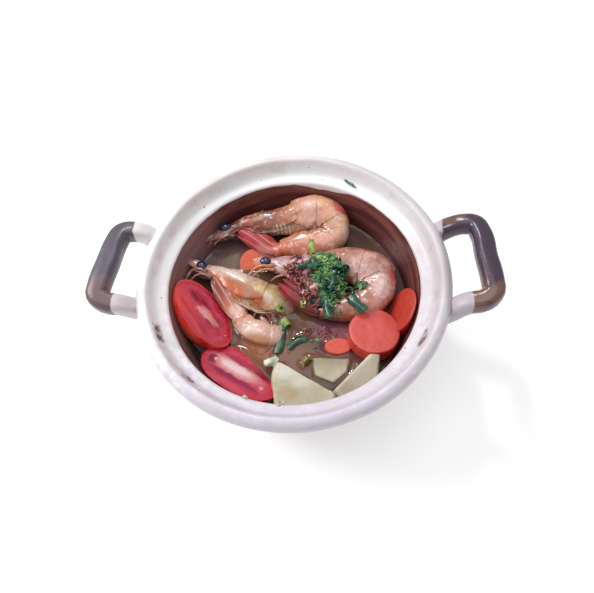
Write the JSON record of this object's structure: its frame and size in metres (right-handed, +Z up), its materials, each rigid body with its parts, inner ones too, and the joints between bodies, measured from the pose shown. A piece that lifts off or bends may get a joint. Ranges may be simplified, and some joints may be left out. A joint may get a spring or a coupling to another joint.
{
  "type": "pot of shrimp soup",
  "caption": "Round earthenware pot with a thick rim and two loop handles, filled with broth, shrimps, tomato, carrot and potato under chopped herbs, for serving a hot soup at the table.",
  "frame": {"origin": "centre of the flat base the pot stands on", "axes": "+Z up, X along the line through the two handles, -Y towards the diner"},
  "size_m": [0.2683, 0.21, 0.1015],
  "materials": {
    "clay": "gloss",
    "soup": "gloss",
    "shrimp": "satin",
    "tomato": "gloss",
    "carrot": "satin",
    "potato": "matte",
    "herbs": "satin",
    "onion": "satin"
  },
  "bodies": {
    "root": {"pot": "clay", "soup": "soup", "shrimp_top": "shrimp", "shrimp_middle": "shrimp", "shrimp_left": "shrimp", "tomato_left": "tomato", "tomato_near": "tomato", "carrot_round": "carrot", "carrot_wall": "carrot", "carrot_small": "carrot", "carrot_far": "carrot", "potato_large": "potato", "potato_wall": "potato", "potato_sunk": "potato", "herb_heap": "herbs", "onion_leaf_long": "herbs", "onion_leaf_short": "herbs", "onion_ring": "onion", "onion_bit": "onion", "onion_pale": "onion", "onion_curl": "onion"}
  },
  "joints": []
}
